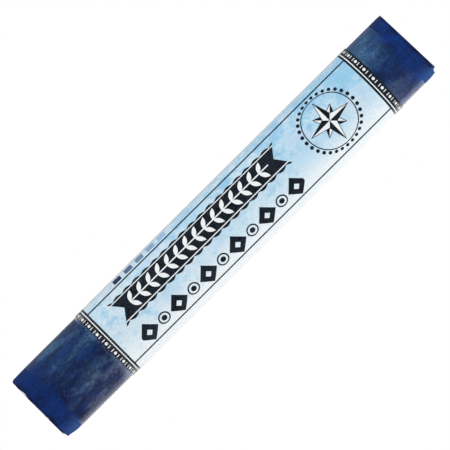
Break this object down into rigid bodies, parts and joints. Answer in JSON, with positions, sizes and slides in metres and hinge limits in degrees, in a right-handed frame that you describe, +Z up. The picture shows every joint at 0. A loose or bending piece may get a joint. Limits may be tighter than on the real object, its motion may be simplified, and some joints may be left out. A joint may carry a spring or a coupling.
{
  "type": "soft pastel stick",
  "caption": "Round stick of soft pastel with worn, crumbled ends, in a printed paper label under a clear film wrap that leaves both ends bare.",
  "frame": {"origin": "centre of the foot, the flat end that the stick stands on", "axes": "+Z up along the stick's axis from the foot to the head, -Y out of the front of the label, +X out of the side with the rubbed flats"},
  "size_m": [0.0114, 0.0116, 0.0715],
  "materials": {
    "pastel": "matte pressed pigment, deep blue",
    "label": "printed paper, pale blue with black",
    "film": "clear glossy film, slightly hazy"
  },
  "bodies": {
    "root": {"pastel_stick": "pastel", "paper_label": "label", "clear_film": "film"}
  },
  "joints": []
}
